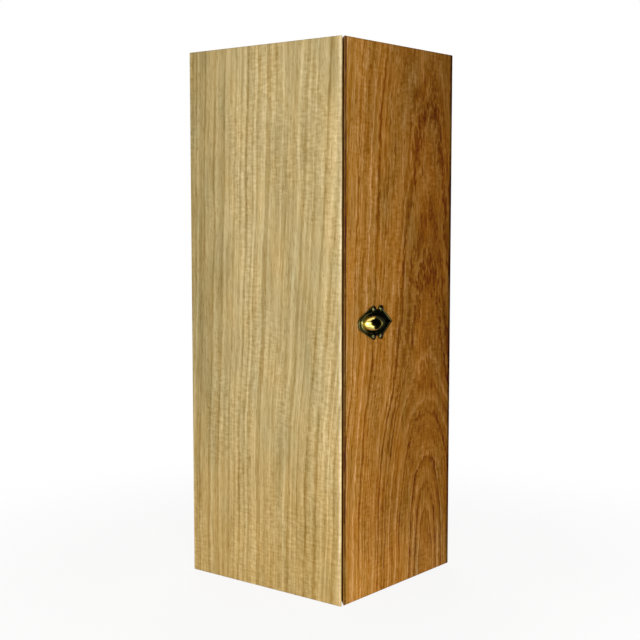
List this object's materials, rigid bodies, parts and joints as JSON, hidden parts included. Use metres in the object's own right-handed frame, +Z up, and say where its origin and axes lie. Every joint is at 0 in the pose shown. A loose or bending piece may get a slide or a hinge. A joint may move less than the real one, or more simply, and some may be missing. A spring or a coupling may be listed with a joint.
{
  "type": "wooden wine box",
  "caption": "Tall wooden box for one bottle, with pale sides, a hinged oak door with a mitred free edge, a brass knob on a shaped backplate and a shelf for the neck.",
  "frame": {"origin": "centre of the box's footprint on the surface that it stands on, half-way between the outer faces of the sides and between the door's face and the back", "axes": "+Z up, -Y out of the front, where the door is, and +X to the hinge side"},
  "size_m": [0.1253, 0.1353, 0.35],
  "materials": {
    "pale_ash": "satin",
    "oak": "satin",
    "beech": "matte",
    "felt": "matte",
    "brass": "satin",
    "polished_brass": "polished",
    "dark_bronze": "patinated",
    "steel": "satin"
  },
  "bodies": {
    "carcass": {"left_side": "pale_ash", "right_side": "pale_ash", "back_panel": "pale_ash", "top_board": "pale_ash", "bottom_board": "pale_ash", "top_board_dowels": "beech", "bottom_board_dowels": "beech", "back_panel_pins": "brass", "neck_shelf": "beech", "bottle_base_ring": "beech", "base_felt_pad": "felt", "upper_hinge_side_leaf": "brass", "lower_hinge_side_leaf": "brass", "upper_hinge_pin": "brass", "lower_hinge_pin": "brass", "side_hinge_screws": "brass", "upper_catch_magnet": "steel", "lower_catch_magnet": "steel"},
    "door": {"door_panel": "oak", "knob_backplate": "dark_bronze", "backplate_nails": "brass", "knob": "polished_brass", "knob_screw": "steel", "knob_washer": "steel", "upper_hinge_door_leaf": "brass", "lower_hinge_door_leaf": "brass", "door_hinge_screws": "brass", "upper_strike_disc": "steel", "lower_strike_disc": "steel", "strike_disc_screws": "steel"}
  },
  "joints": [
    {"name": "door_hinge", "type": "hinge", "parent": "carcass", "child": "door", "pos_m": [0.0628, -0.0553, 0.175], "axis": [0, 0, 1], "range_deg": [0, 180]}
  ]
}
